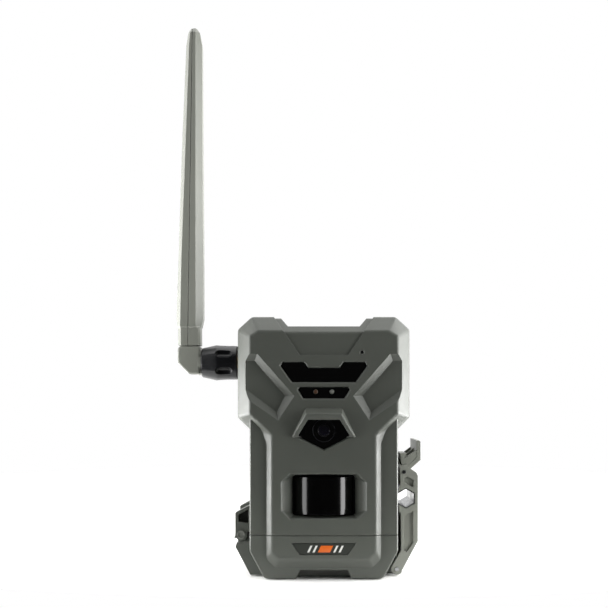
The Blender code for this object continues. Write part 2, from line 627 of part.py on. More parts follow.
# ---- battery door ------------------------------------------------------------------------------------
def add_door(form):
    """The drop-down lower casing with its hinge knuckle and latch lug."""
    door = keep(form, box((-60, -60, -1), (60, 10, DOOR_TOP)))
    rear = rear_form(-1, DOOR_TOP)
    bridge = prism(inset(LOWER, 0.02), SPLIT_Y - 1, SPLIT_Y + 1)
    keep(bridge, box((-60, -60, -5), (60, 60, DOOR_TOP)))
    join(door, bridge, rear)
    basin = prism(inset(LOWER, 2.8), -28.4, 22.6)
    back_basin = box((-26.0, 20.0, 3.4), (26.0, 27.1, 40))
    cut(basin, box((-17.6, -40, -1), (17.6, -22.2, 7.2)))
    foot_notch = mirrored([(11.7, 4.6), (14.4, -1.0)])
    cut(door, prism(foot_notch, -60, -25.0))
    cut(door, prism(DOOR_BADGE, -60, FACE_Y + 0.6))

    flank = [(-35.0, 20.2), (-38.0, 17.4), (-44.0, 16.3), (-44.5, 14.4), (-37.0, 0.4), (-29.0, 0.4)]
    block = prism(flank, HINGE_FRONT_Y, HINGE_BACK_Y)
    for low, high in ((-30, -14.7), (12.7, 30)):
        cut(block, cylinder((HINGE_X, HINGE_Z), 4.15, low, high, segments=32))
    web = prism([(-39.4, 14.0), (-43.6, 14.0), (-44.0, 20.4), (-39.2, 20.4)], -14.4, 12.4)
    knuckle = cylinder((HINGE_X, HINGE_Z), 2.5, -14.4, 12.4, segments=24)
    join(block, web, knuckle)
    join(door, block)
    cut(door, pin_bore(PIN_RADIUS + 0.08, -40, 40))

    lug = prism(
        [(29.0, 0.6), (36.6, 0.6)] + arc(LATCH_X, LATCH_Z, 2.6, -80, 90, 8) + [(33.5, 9.5)],
        LATCH_FRONT_Y + FLANGE + GAP,
        LATCH_BACK_Y - FLANGE - GAP,
    )
    join(door, lug)
    cut(door, cylinder((LATCH_X, LATCH_Z), 1.08, -40, 40, segments=16), basin, back_basin)
    cut(door, box((-31.1, 20.0, 9.3), (31.1, 27.1, 40)))
    finish(door, "battery_door", "housing", (HINGE_X, 0, HINGE_Z))

    plate = prism(inset(DOOR_BADGE, 0.3), FACE_Y + 0.1, FACE_Y + 0.5)
    finish(plate, "badge_plate", "badge")
    outer = [(35.3, -29.4), (35.3, 23.4), (31.8, 28.8), (-31.8, 28.8), (-35.3, 23.4), (-35.3, -29.4)]
    ring = prism(outer, DOOR_TOP + 0.02, DOOR_TOP + 0.22, axis="Z")
    cut(ring, prism(inset(outer, 0.9), 0, 60, axis="Z"))
    finish(ring, "door_seal", "rubber")


def add_hinge_pin():
    """The door's pin, with a shouldered head at the front."""
    pin = cylinder((HINGE_X, HINGE_Z), PIN_RADIUS, HINGE_FRONT_Y, HINGE_BACK_Y + 0.4, segments=16)
    head = cylinder((HINGE_X, HINGE_Z), 2.1, HINGE_FRONT_Y - 1.4, HINGE_FRONT_Y - GAP, segments=32)
    neck = cylinder((HINGE_X, HINGE_Z), PIN_RADIUS, HINGE_FRONT_Y - 0.5, HINGE_FRONT_Y + 1, segments=16)
    join(pin, head, neck)
    cut(pin, cylinder((HINGE_X, HINGE_Z), 1.4, -40, HINGE_FRONT_Y - 1.0, segments=32))
    return finish(pin, "hinge_pin", "housing")


# ---- latch --------------------------------------------------------------------------------------------
LEVER = [(38.6, 55.7), (41.2, 55.6), (45.6, 52.8), (46.9, 51.8), (47.6, 50.2), (47.6, 17.3)]
LEVER += [(39.4, 2.2)] + arc(LATCH_X, LATCH_Z, 2.9, -28, -205, 8) + [(39.2, 12.8)]
LEVER_PANEL = [(40.4, 29.8), (45.2, 32.6), (45.2, 16.4), (41.9, 11.8), (40.4, 12.8)]
LEVER_GEM = [(42.4, 50.0), (45.4, 48.2), (45.4, 45.0), (44.7, 44.5), (40.4, 47.2), (40.6, 49.0)]


def add_latch():
    """The U-shaped lever, the sprung hook with its finger tab, and their pins and spring."""
    front, back = LATCH_FRONT_Y, LATCH_BACK_Y
    lever = prism(LEVER, front, back)
    hollow = [(30.0, 60.0), (46.3, 60.0), (46.3, 17.6), (40.3, 6.6), (40.3, -5.0), (30.0, -5.0)]
    cut(lever, prism(hollow, front + FLANGE, back - FLANGE))
    collar = prism([(38.0, 44.6), (42.0, 47.0), (42.0, 30.0), (38.0, 32.0)], front, front + FLANGE)
    rear_collar = prism([(38.0, 44.6), (42.0, 47.0), (42.0, 30.0), (38.0, 32.0)], back - FLANGE, back)
    join(lever, collar, rear_collar)
    sleeve_seat = hexagon(LOCK_X, LOCK_Z, SLEEVE_FLATS + 0.1)
    cut(lever, prism(sleeve_seat, front - 1, back + 1))
    for low, high in ((front - 1, front + 1.1), (back - 1.1, back + 1)):
        cut(lever, prism(LEVER_PANEL, low, high), prism(LEVER_GEM, low, high))
    cut(lever, cylinder((LATCH_X, LATCH_Z), 1.08, -40, 40, segments=16))
    cut(lever, cylinder((HOOK_X, HOOK_Z), 0.95, -40, 40, segments=12))
    finish(lever, "latch_lever", "housing", (LATCH_X, 0, LATCH_Z))

    pin = cylinder((LATCH_X, LATCH_Z), 1.0, front - 0.4, back + 0.4, segments=16)
    finish(pin, "latch_pin", "steel", (LATCH_X, 0, LATCH_Z))
    pin = cylinder((HOOK_X, HOOK_Z), 0.85, front - 0.3, back + 0.3, segments=12)
    finish(pin, "hook_pin", "steel", (HOOK_X, 0, HOOK_Z))

    inner_front, inner_back = front + FLANGE + GAP, back - FLANGE - GAP
    tab_outline = [(47.2, 58.4), (49.2, 58.4), (49.2, 67.4), (48.6, 68.0), (47.2, 68.0)]
    tab = prism(tab_outline, inner_front, inner_back)
    arm = [(42.4, 54.4), (44.0, 53.6), (49.2, 58.2), (49.2, 59.4), (47.8, 60.0)]
    plate = prism(arm, inner_front, inner_back)
    barrel = cylinder((HOOK_X, HOOK_Z), 2.2, inner_front, inner_back, segments=20)
    link = prism([(39.6, 52.6), (42.0, 51.4), (44.6, 55.4), (42.2, 56.8)], inner_front, inner_back)
    join(plate, tab, barrel, link)
    rib = [(41.4, 53.4), (48.0, 59.2), (48.0, 64.0), (41.0, 58.8), (40.6, 60.2)]
    rib += [(39.3, 60.2), (39.3, 56.6)]
    for middle in (inner_front + 0.9, (inner_front + inner_back) / 2, inner_back - 0.9):
        join(plate, prism(rib, middle - 0.8, middle + 0.8))
    claw = [(38.9, 61.6), (38.9, 58.4), (40.4, 57.6), (42.2, 58.8), (42.0, 61.6)]
    join(plate, prism(claw, inner_front + 0.4, 2.0))
    cut(plate, cylinder((HOOK_X, HOOK_Z), 0.95, -40, 40, segments=12))
    finish(plate, "latch_hook", "housing", (HOOK_X, 0, HOOK_Z))

    sleeve = prism(hexagon(LOCK_X, LOCK_Z, SLEEVE_FLATS), front + 0.2, back - 0.2)
    cut(sleeve, prism(hexagon(LOCK_X, LOCK_Z, SLEEVE_BORE_FLATS), -40, 40))
    finish(sleeve, "lock_sleeve", "steel")


# ---- antenna --------------------------------------------------------------------------------------------
def add_antenna_nut():
    """The grip nut that holds the antenna to the socket."""
    profile = [(6.8, 0.0), (7.5, 0.5), (9.05, 7.5), (9.05, 9.0), (8.6, 18.0), (8.2, 18.4)]
    profile += [(3.3, 18.4), (3.3, 9.8), (4.7, 9.8), (4.7, 3.6), (6.8, 3.6)]
    nut = turned(profile, (NUT_LEFT, ANTENNA_Y, ANTENNA_Z), axis="X", segments=36, ring=True)
    for i in range(6):
        angle = math.radians(60 * i + 270)
        y = ANTENNA_Y + 9.6 * math.cos(angle)
        z = ANTENNA_Z + 9.6 * math.sin(angle)
        low, high = NUT_LEFT + 9.6, NUT_LEFT + 14.0
        rise = [(2.3 * math.cos(t), high + 2.3 * math.sin(t)) for t in (0.0, 0.5, 1.0)]
        fall = [(2.3 * math.cos(t), low - 2.3 * math.sin(t)) for t in (1.0, 0.5, 0.0)]
        grip = [(0, low - 2.3)] + fall + rise + [(0, high + 2.3)]
        cut(nut, turned(grip, (0, y, z), axis="X", segments=16))
    return finish(nut, "antenna_nut", "grip", (0, ANTENNA_Y, ANTENNA_Z))


def add_elbow():
    """The fork that the blade folds in, its stem in the nut and the fold's pin."""
    left, right = STALK_X - ELBOW_HALF, NUT_LEFT - 0.4
    top = arc(TILT_X, TILT_Z, ELBOW_TOP - TILT_Z, 90, 113, 4)
    outline = [(right, 101.8), (right, ELBOW_TOP)] + top + [(left, 107.6), (-68.4, 101.8)]
    block = prism(outline, ANTENNA_Y - 6.0, ANTENNA_Y + 6.0)
    soften(block, 0.8, 60.0, 2)
    join(block, cylinder((ANTENNA_Y, ANTENNA_Z), 6.4, right - 1.2, NUT_LEFT + 3.2, axis="X", segments=32))
    join(block, cylinder((ANTENNA_Y, ANTENNA_Z), 4.3, right - 1.2, NUT_LEFT + 9.4, axis="X", segments=24))
    slot = box((left - 2, ANTENNA_Y - 2.4, 100), (-65.4, ANTENNA_Y + 2.4, 118))
    cut(block, slot, cylinder((TILT_X, TILT_Z), 0.9, ANTENNA_Y - 4.9, 10, segments=12))
    finish(block, "antenna_elbow", "antenna", (0, ANTENNA_Y, ANTENNA_Z))
    pin = cylinder((TILT_X, TILT_Z), 0.8, ANTENNA_Y - 4.6, ANTENNA_Y + 5.8, segments=12)
    finish(pin, "tilt_pin", "steel", (TILT_X, ANTENNA_Y, TILT_Z))


def blade_ring(z, left, right, flat_left, flat_right, half_depth, edge_depth):
    """One section of the blade: a flat front and back between two bevelled edges."""
    front = ANTENNA_Y - half_depth
    back = ANTENNA_Y + half_depth
    near, far = ANTENNA_Y - edge_depth, ANTENNA_Y + edge_depth
    ring = [(left, near), (flat_left, front), (flat_right, front), (right, near)]
    ring += [(right, far), (flat_right, back), (flat_left, back), (left, far)]
    return [(x, y, z) for x, y in ring]


def add_blade():
    """The two blade halves, the fold's tongue and the aerial rod inside."""
    neck = (STALK_X - ELBOW_HALF, STALK_X + ELBOW_HALF - 0.6)
    sections = [
        (NECK_BOTTOM, *neck, -72.6, -63.8, 5.9, 4.2),
        (125.4, *neck, -72.6, -63.8, 5.9, 4.2),
        (125.9, -74.5, -62.4, -72.9, -65.1, 6.4, 3.9),
        (130.0, -75.1, -61.5, -72.9, -65.1, 6.4, 3.6),
        (160.0, -74.6, -61.5, -72.3, -65.2, 6.0, 3.3),
        (220.0, -72.3, -61.9, -70.2, -65.3, 5.2, 2.9),
        (270.0, -70.2, -62.1, -68.5, -65.4, 4.5, 2.6),
        (276.6, -69.2, -63.3, -68.1, -65.4, 3.6, 2.2),
        (BLADE_TOP, -67.9, -65.0, -67.4, -65.5, 1.9, 1.3),
    ]
    blade = loft([blade_ring(*section) for section in sections])
    pocket = box((-74.6, ANTENNA_Y - 2.3, 110), (-65.3, ANTENNA_Y + 2.3, 123.3))
    keep(pocket, box((-73.8, -30, 110), (-65.5, 0, 130)))
    cut(blade, pocket)
    bore = cylinder((STALK_X + 0.6, ANTENNA_Y), 1.6, 122.0, 262.0, axis="Z", segments=16)
    cut(blade, bore)
    foot_x, tip_x = -69.1, -66.8
    parting = [(foot_x, 110.0), (tip_x, 290.0), (-40.0, 290.0), (-40.0, 110.0)]
    right = copy_of(blade)
    gap = 0.12
    keep(right, prism([(x + gap, z) for x, z in parting], -40, 20))
    cut(blade, prism([(x - gap, z) for x, z in parting], -40, 20))
    finish(blade, "antenna_blade_left", "antenna", (TILT_X, ANTENNA_Y, TILT_Z))
    finish(right, "antenna_blade_right", "antenna", (TILT_X, ANTENNA_Y, TILT_Z))

    tongue = [(-73.4, 122.9), (-65.9, 122.9), (-65.9, 105.7)]
    tongue += arc(TILT_X, TILT_Z, 3.4, -10, -180, 10)[1:] + [(-73.4, 112.0)]
    plate = prism(tongue, ANTENNA_Y - 2.0, ANTENNA_Y + 2.0)
    corner = prism([(-76.6, 110.2), (-66.4, 100.0), (-76.6, 100.0)], -40, 20)
    cut(plate, corner, cylinder((TILT_X, TILT_Z), 0.9, -30, 10, segments=12))
    finish(plate, "antenna_tongue", "antenna", (TILT_X, ANTENNA_Y, TILT_Z))
    rod = cylinder((STALK_X + 0.6, ANTENNA_Y), 1.2, 123.4, 260.0, axis="Z", segments=12)
    finish(rod, "aerial_rod", "brass")


# ---- fasteners --------------------------------------------------------------------------------------------
def add_fasteners():
    """The shell screws and the tripod insert."""
    for i, (x, z) in enumerate(SCREW_PLACES, 1):
        screw = cylinder((x, z), 1.1, -16.0, 2.6, segments=12)
        join(screw, cylinder((x, z), 2.6, 2.3, 4.3, segments=16))
        cut(screw, cylinder((x, z), 1.1, 3.2, 6, segments=6))
        finish(screw, f"shell_screw_{i}", "steel")
    insert = cylinder((0, 100.0), 4.3, 24.6, 32.8, segments=24)
    cut(insert, cylinder((0, 100.0), 3.1, 25.8, 40, segments=24))
    finish(insert, "tripod_insert", "brass")


casing = casing_front()
door_front = copy_of(casing)
add_front_shell(casing)
add_rear_shell()
add_shell_seal()
add_windows()
add_optics()
add_electronics()
add_aerial_socket()
add_batteries()
add_control_panel()
add_door(door_front)
add_hinge_pin()
add_latch()
add_antenna_nut()
add_elbow()
add_blade()
add_fasteners()
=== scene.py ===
"""Studio scene of the trail camera: finishes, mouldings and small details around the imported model."""

import logging
import math
from dataclasses import dataclass
from enum import Enum
from typing import Iterable, Sequence

import bpy
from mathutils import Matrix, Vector


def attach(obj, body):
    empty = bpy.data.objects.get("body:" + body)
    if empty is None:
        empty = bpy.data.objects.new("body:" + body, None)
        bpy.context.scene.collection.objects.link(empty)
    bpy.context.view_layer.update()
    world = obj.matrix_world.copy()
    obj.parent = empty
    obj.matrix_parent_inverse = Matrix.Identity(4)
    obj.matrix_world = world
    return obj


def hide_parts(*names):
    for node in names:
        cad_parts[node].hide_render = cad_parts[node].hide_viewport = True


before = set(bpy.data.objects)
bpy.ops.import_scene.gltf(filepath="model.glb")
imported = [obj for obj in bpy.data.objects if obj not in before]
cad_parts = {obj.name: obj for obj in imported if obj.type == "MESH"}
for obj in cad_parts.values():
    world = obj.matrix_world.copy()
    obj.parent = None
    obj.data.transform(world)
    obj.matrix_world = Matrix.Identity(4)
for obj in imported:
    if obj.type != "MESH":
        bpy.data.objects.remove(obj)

LOG = logging.getLogger("trail_camera")
MM = 0.001
FACE_Y = -36.0  # the raised front plateau, in millimetres
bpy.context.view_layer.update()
Point = tuple[float, float, float]


# ---- colour and node helpers ---------------------------------------------------------------------
def linear(hex_colour: str) -> tuple[float, float, float, float]:
    """Turns an sRGB hex value into a linear colour.

    Args:
        hex_colour: six hexadecimal digits, such as "4C4F49".

    Returns:
        Linear red, green, blue and alpha.
    """
    channels = [int(hex_colour[i:i + 2], 16) / 255 for i in (0, 2, 4)]
    curve = [c / 12.92 if c <= 0.04045 else ((c + 0.055) / 1.055) ** 2.4 for c in channels]
    return curve[0], curve[1], curve[2], 1.0


def add_node(
    tree: bpy.types.NodeTree,
    kind: str,
    inputs: dict[str | int, object] | None = None,
    **settings: object,
) -> bpy.types.Node:
    """Adds a node, sets its properties and fills or links its inputs.

    Args:
        tree: the material's node tree.
        kind: the node's type name.
        inputs: socket name or number to a value, or to an output socket to link.
        settings: properties of the node itself.

    Returns:
        The new node.
    """
    node = tree.nodes.new(kind)
    for name, value in settings.items():
        setattr(node, name, value)
    for key, value in (inputs or {}).items():
        socket = node.inputs[key]
        if isinstance(value, bpy.types.NodeSocket):
            tree.links.new(value, socket)
        else:
            socket.default_value = value
    return node


# ---- finishes ------------------------------------------------------------------------------------
@dataclass(frozen=True)
class Finish:
    """A named finish whose surface is worked out in Object coordinates, in metres.

    The colour drifts a little over a few centimetres, and a fine grain lifts the surface.
    """

    title: str
    colour: str
    roughness: float
    ior: float = 1.5
    metallic: float = 0.0
    grain_mm: float = 0.0
    grain_height_mm: float = 0.0
    drift: float = 0.0
    roughness_drift: float = 0.0
    edge_mm: float = 0.0
    coat: float = 0.0

    def shader(self, material: bpy.types.Material) -> bpy.types.Node:
        """The Principled shader with this finish's uniform values on its own sockets."""
        node = material.node_tree.nodes["Principled BSDF"]
        node.inputs["Base Color"].default_value = linear(self.colour)
        node.inputs["Roughness"].default_value = self.roughness
        node.inputs["Metallic"].default_value = self.metallic
        node.inputs["IOR"].default_value = self.ior
        node.inputs["Coat Weight"].default_value = self.coat
        node.inputs["Coat Roughness"].default_value = 0.08
        return node

    def build(self) -> bpy.types.Material:
        """Makes the material.

        Returns:
            The new material.
        """
        material = bpy.data.materials.new(self.title)
        material.use_nodes = True
        tree = material.node_tree
        shader = self.shader(material)
        place = add_node(tree, "ShaderNodeTexCoord").outputs["Object"]
        if self.drift:
            self.add_drift(tree, shader, place)
        if self.roughness_drift:
            self.add_roughness_drift(tree, shader, place)
        normal = None
        if self.edge_mm:
            normal = add_node(tree, "ShaderNodeBevel", {"Radius": self.edge_mm * MM}, samples=4).outputs[0]
            tree.links.new(normal, shader.inputs["Normal"])
        if self.grain_mm:
            self.add_grain(tree, shader, place, normal)
        return material

    def add_drift(
        self, tree: bpy.types.NodeTree, shader: bpy.types.Node, place: bpy.types.NodeSocket
    ) -> None:
        """Mixes in a slightly darker and a slightly lighter colour in broad soft clouds."""
        cloud = add_node(tree, "ShaderNodeTexNoise", {"Vector": place, "Scale": 28.0, "Detail": 3.0})
        base = linear(self.colour)
        ramp = add_node(tree, "ShaderNodeValToRGB", {"Fac": cloud.outputs[0]})
        for stop, gain in zip(ramp.color_ramp.elements, (1 - self.drift, 1 + self.drift)):
            stop.color = (base[0] * gain, base[1] * gain, base[2] * gain, 1.0)
        ramp.color_ramp.elements[0].position = 0.3
        ramp.color_ramp.elements[1].position = 0.7
        tree.links.new(ramp.outputs["Color"], shader.inputs["Base Color"])

    def add_roughness_drift(
        self, tree: bpy.types.NodeTree, shader: bpy.types.Node, place: bpy.types.NodeSocket
    ) -> None:
        """Lets the gloss vary over a few millimetres, as handled plastic does."""
        cloud = add_node(tree, "ShaderNodeTexNoise", {"Vector": place, "Scale": 120.0, "Detail": 4.0})
        low, high = self.roughness - self.roughness_drift, self.roughness + self.roughness_drift
        spread = add_node(
            tree,
            "ShaderNodeMapRange",
            {"Value": cloud.outputs[0], "From Min": 0.3, "From Max": 0.7, "To Min": low, "To Max": high},
        )
        tree.links.new(spread.outputs[0], shader.inputs["Roughness"])

    def add_grain(
        self,
        tree: bpy.types.NodeTree,
        shader: bpy.types.Node,
        place: bpy.types.NodeSocket,
        normal: bpy.types.NodeSocket | None,
    ) -> None:
        """Lifts the surface in grains of grain_mm across."""
        scale = 1.0 / (self.grain_mm * MM)
        grain = add_node(tree, "ShaderNodeTexNoise", {"Vector": place, "Scale": scale, "Detail": 2.0})
        links: dict[str | int, object] = {"Height": grain.outputs[0], "Strength": 1.0}
        links["Distance"] = self.grain_height_mm * MM
        if normal is not None:
            links["Normal"] = normal
        bump = add_node(tree, "ShaderNodeBump", links)
        tree.links.new(bump.outputs[0], shader.inputs["Normal"])


@dataclass(frozen=True)
class TurnedMetal(Finish):
    """Metal cut on a lathe or drawn: fine rings around Y."""

    pitch_mm: float = 0.25

    def add_grain(
        self,
        tree: bpy.types.NodeTree,
        shader: bpy.types.Node,
        place: bpy.types.NodeSocket,
        normal: bpy.types.NodeSocket | None,
    ) -> None:
        """Raises fine tool marks as bands."""
        band = add_node(
            tree,
            "ShaderNodeTexWave",
            {"Vector": place, "Scale": 1.0 / (self.pitch_mm * MM * 20.0), "Distortion": 0.4},
            bands_direction="Y",
        )
        bump = add_node(
            tree, "ShaderNodeBump", {"Height": band.outputs[1], "Distance": self.grain_height_mm * MM}
        )
        tree.links.new(bump.outputs[0], shader.inputs["Normal"])


class Finishes(Enum):
    """Every finish on the camera. Grain sizes are drawn coarser than the real 0.05 mm so that they show."""

    # spark-eroded injection-moulded ABS: an even matte olive grey with a soft sheen at grazing angles
    CASING = Finish("moulded_abs_olive", "4C4F49", 0.46, 1.53, grain_mm=0.35, grain_height_mm=0.012,
                    drift=0.035, roughness_drift=0.04, edge_mm=0.4)
    # the same ABS in a lighter grey and polished in the tool: the antenna, the lever and the hook
    AERIAL = Finish("moulded_abs_smooth", "84867E", 0.38, 1.53, grain_mm=0.5, grain_height_mm=0.006,
                    drift=0.02, roughness_drift=0.03, edge_mm=0.25)
    # acetal, turned: the hinge pin, a slightly waxy mid grey
    PIN = Finish("turned_acetal", "6B6D67", 0.36, 1.48, grain_mm=0.4, grain_height_mm=0.006, edge_mm=0.3)
    # glass-filled nylon: bluish black and satin, with a slightly mottled gloss
    GRIP = Finish("glass_filled_nylon", "0B0C10", 0.34, 1.53, grain_mm=0.3, grain_height_mm=0.01,
                  roughness_drift=0.07, edge_mm=0.25)
    # infrared-passing polycarbonate, polished: black with sharp reflections
    SMOKED = Finish("infrared_polycarbonate", "030303", 0.05, 1.58, roughness_drift=0.02, coat=0.3)
    # high-density polyethylene lens for body heat, dyed black: gloss a little softer than glass
    HEAT_LENS = Finish("dyed_polyethylene", "020202", 0.12, 1.52, grain_mm=2.2, grain_height_mm=0.01)
    # coated optical glass: near black with a violet bloom
    COATED = Finish("coated_glass", "0A0912", 0.03, 1.6, coat=1.0)
    # anodised aluminium ring around the lens
    RING = Finish("anodised_aluminium", "26272A", 0.3, 1.45, metallic=0.6, roughness_drift=0.04)
    # zinc-plated steel, turned: bright with fine rings
    STEEL = TurnedMetal("zinc_plated_steel", "9FA0A1", 0.28, metallic=1.0, grain_mm=0.2,
                        grain_height_mm=0.004, drift=0.03, roughness_drift=0.06)
    # turned brass: warm, a little dulled by handling
    BRASS = TurnedMetal("turned_brass", "C9A252", 0.27, metallic=1.0, grain_mm=0.2,
                        grain_height_mm=0.006, drift=0.05, roughness_drift=0.08)
    # moulded black ABS of the battery tray: matte and even
    TRAY = Finish("moulded_abs_black", "121213", 0.5, 1.53, grain_mm=0.4, grain_height_mm=0.012,
                  drift=0.05, roughness_drift=0.05)
    # solder mask over glass-fibre board: green, glossy, with the weave just showing
    BOARD = Finish("solder_mask", "0F4A2A", 0.3, 1.5, grain_mm=0.6, grain_height_mm=0.01, drift=0.08)
    # silicone rubber: very matte, slightly greyed by dust
    RUBBER = Finish("silicone_rubber", "17181A", 0.75, 1.43, grain_mm=0.25, grain_height_mm=0.01,
                    drift=0.08)
    # printed shrink sleeve over an alkaline cell: smooth gloss film
    SLEEVE = Finish("shrink_sleeve", "1C1D22", 0.25, 1.5, roughness_drift=0.04, coat=0.4)
    SLEEVE_BAND = Finish("shrink_sleeve_band", "B4762C", 0.25, 1.5, drift=0.03, coat=0.4)
    # clear epoxy dome over a pale diffuser
    PALE_DOME = Finish("epoxy_dome_pale", "6E706A", 0.25, 1.5, drift=0.06, coat=0.3)
    AMBER_DOME = Finish("epoxy_dome_amber", "4A3526", 0.25, 1.5, drift=0.06, coat=0.3)
    # pad-printed enamel on the badge: flat film, slightly glossier than the plastic around it
    BADGE_GROUND = Finish("badge_ground", "2B2E29", 0.4, 1.5, grain_mm=0.4, grain_height_mm=0.006,
                          drift=0.03)
    BADGE_ORANGE = Finish("badge_enamel_orange", "D2621E", 0.35, 1.5, drift=0.03, roughness_drift=0.04)
    BADGE_WHITE = Finish("badge_enamel_white", "D8D9D4", 0.35, 1.5, drift=0.02, roughness_drift=0.04)

    @property
    def material(self) -> bpy.types.Material:
        """The finish's material, made once."""
        if self.value.title not in bpy.data.materials:
            self.value.build()
        return bpy.data.materials[self.value.title]


# ---- modelling helpers ---------------------------------------------------------------------------
def deselect_everything() -> None:
    """Leaves nothing selected, the model's own nodes included."""
    if bpy.context.object and bpy.context.object.mode != "OBJECT":
        bpy.ops.object.mode_set(mode="OBJECT")
    bpy.ops.object.select_all(action="DESELECT")


def make_active(piece: bpy.types.Object) -> None:
    """Selects only this piece and makes it active."""
    deselect_everything()
    piece.select_set(True)
    bpy.context.view_layer.objects.active = piece


def apply_modifier(piece: bpy.types.Object, kind: str, **settings: object) -> None:
    """Adds a modifier with settings and applies it.

    Args:
        piece: the object to change.
        kind: the modifier's type.
        settings: its properties.
    """
    make_active(piece)
    bpy.ops.object.modifier_add(type=kind)
    modifier = piece.modifiers[-1]
    for name, value in settings.items():
        setattr(modifier, name, value)
    bpy.ops.object.modifier_apply(modifier=modifier.name)


def settle(piece: bpy.types.Object) -> None:
    """Puts the piece's place into its mesh and its origin at the world's."""
    make_active(piece)
    bpy.ops.object.transform_apply(location=True, rotation=True, scale=True)


def hand_over(
    piece: bpy.types.Object,
    name: str,
    body: str,
    finish: Finishes,
    nodes: Sequence[str] = (),
) -> bpy.types.Object:
    """Names a finished piece, dresses it and puts it on its body.

    Args:
        piece: the finished object.
        name: its name in the scene.
        body: the body that it rides on.
        finish: what it is made of.
        nodes: the model's nodes that it stands for.

    Returns:
        The same piece.
    """
    settle(piece)
    piece.name = name
    piece.data.name = name
    piece.data.materials.clear()
    piece.data.materials.append(finish.material)
    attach(piece, body)
    if nodes:
        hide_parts(*nodes)
    LOG.info("%s: %d faces on %s", name, len(piece.data.polygons), body)
    return piece


@dataclass(frozen=True)
class Rounding:
    """How a moulded edge is broken: radius, steps, how near points are merged and what is shaded smooth."""

    radius_mm: float = 0.5
    steps: int = 2
    merge_mm: float = 0.12
    edge_angle: float = 24.0
    smooth_angle: float = 40.0


# the shells and the door, whose fillets are in the model already
MOULDED = Rounding(radius_mm=0.0, merge_mm=0.02, smooth_angle=20.0)


def rounded_copy(node: str, rounding: Rounding) -> bpy.types.Object:
    """Copies a node's mesh, breaks its edges if a radius is given, and smooths its shading.

    Args:
        node: the node's name.
        rounding: the radius, its steps and what is shaded smooth.

    Returns:
        The copy, not yet on a body.
    """
    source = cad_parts[node]
    piece = bpy.data.objects.new(node + "_moulding", source.data.copy())
    bpy.context.scene.collection.objects.link(piece)
    make_active(piece)
    bpy.ops.mesh.customdata_custom_splitnormals_clear()
    bpy.ops.object.mode_set(mode="EDIT")
    bpy.ops.mesh.select_mode(type="VERT")
    bpy.ops.mesh.select_all(action="SELECT")
    bpy.ops.mesh.remove_doubles(threshold=0.002 * MM)
    bpy.ops.mesh.dissolve_degenerate(threshold=rounding.merge_mm * MM)
    bpy.ops.mesh.dissolve_limited(angle_limit=math.radians(1.5))
    bpy.ops.object.mode_set(mode="OBJECT")
    if rounding.radius_mm:
        apply_modifier(
            piece, "BEVEL", width=rounding.radius_mm * MM, segments=rounding.steps, limit_method="ANGLE",
            angle_limit=math.radians(rounding.edge_angle), use_clamp_overlap=True, harden_normals=False,
            miter_outer="MITER_SHARP",
        )
    make_active(piece)
    bpy.ops.object.shade_smooth_by_angle(angle=math.radians(rounding.smooth_angle))
    apply_modifier(piece, "WEIGHTED_NORMAL", mode="FACE_AREA", weight=80, keep_sharp=True)
    return piece


def add_disc(radius: float, centre: Point, depth: float, vertices: int = 32) -> bpy.types.Object:
    """A short cylinder along Y, in millimetres, in edit-ready form.

    Args:
        radius: its radius.
        centre: the middle of its front face.
        depth: how far it runs back.
        vertices: points around it.

    Returns:
        The object, with its place applied.
    """
    deselect_everything()
    middle = (centre[0] * MM, (centre[1] + depth / 2) * MM, centre[2] * MM)
    bpy.ops.mesh.primitive_cylinder_add(
        vertices=vertices, radius=radius * MM, depth=depth * MM, location=middle,
        rotation=(math.pi / 2, 0.0, 0.0),
    )
    piece = bpy.context.object
    settle(piece)
    return piece


def add_ring(
    outer: float, inner: float, centre: Point, depth: float, vertices: int = 64
) -> bpy.types.Object:
    """A flat ring around Y with rounded rims, in millimetres.

    Args:
        outer: outer radius.
        inner: inner radius.
        centre: the middle of its front face.
        depth: how far it runs back.
        vertices: points around it.

    Returns:
        The ring.
    """
    deselect_everything()
    bpy.ops.mesh.primitive_torus_add(
        major_segments=vertices, minor_segments=10, major_radius=(outer + inner) / 2 * MM,
        minor_radius=(outer - inner) / 2 * MM, rotation=(math.pi / 2, 0.0, 0.0),
    )
    piece = bpy.context.object
    bpy.ops.object.transform_apply(location=True, rotation=True, scale=True)
    bpy.ops.object.mode_set(mode="EDIT")
    bpy.ops.mesh.select_all(action="SELECT")
    bpy.ops.transform.resize(value=(1.0, depth / (outer - inner), 1.0))
    bpy.ops.object.mode_set(mode="OBJECT")
    piece.location = (centre[0] * MM, (centre[1] + depth / 2) * MM, centre[2] * MM)
    settle(piece)
    bpy.ops.object.shade_smooth()
    return piece


def add_plate(
    outline: Sequence[tuple[float, float]], front_y: float, thickness: float, edge: float = 0.1
) -> bpy.types.Object:
    """A thin plate of any outline in X and Z, grown from a single-face primitive.

    Args:
        outline: its corners in millimetres.
        front_y: depth of its front face in millimetres.
        thickness: how far it runs back.
        edge: radius of its rim.

    Returns:
        The plate.
    """
    deselect_everything()
    count = len(outline)
    bpy.ops.mesh.primitive_circle_add(vertices=count, radius=MM, fill_type="NGON")
    piece = bpy.context.object
    for vertex, (x, z) in zip(piece.data.vertices, outline):
        vertex.co = (x * MM, front_y * MM, z * MM)
    bpy.ops.object.mode_set(mode="EDIT")
    bpy.ops.mesh.select_all(action="SELECT")
    bpy.ops.mesh.extrude_region_move(TRANSFORM_OT_translate={"value": (0.0, thickness * MM, 0.0)})
    bpy.ops.mesh.select_all(action="SELECT")
    bpy.ops.mesh.normals_make_consistent(inside=False)
    bpy.ops.object.mode_set(mode="OBJECT")
    if edge:
        apply_modifier(piece, "BEVEL", width=edge * MM, segments=2, limit_method="ANGLE",
                       angle_limit=math.radians(25.0))
    bpy.ops.object.shade_smooth_by_angle(angle=math.radians(35.0))
    return piece


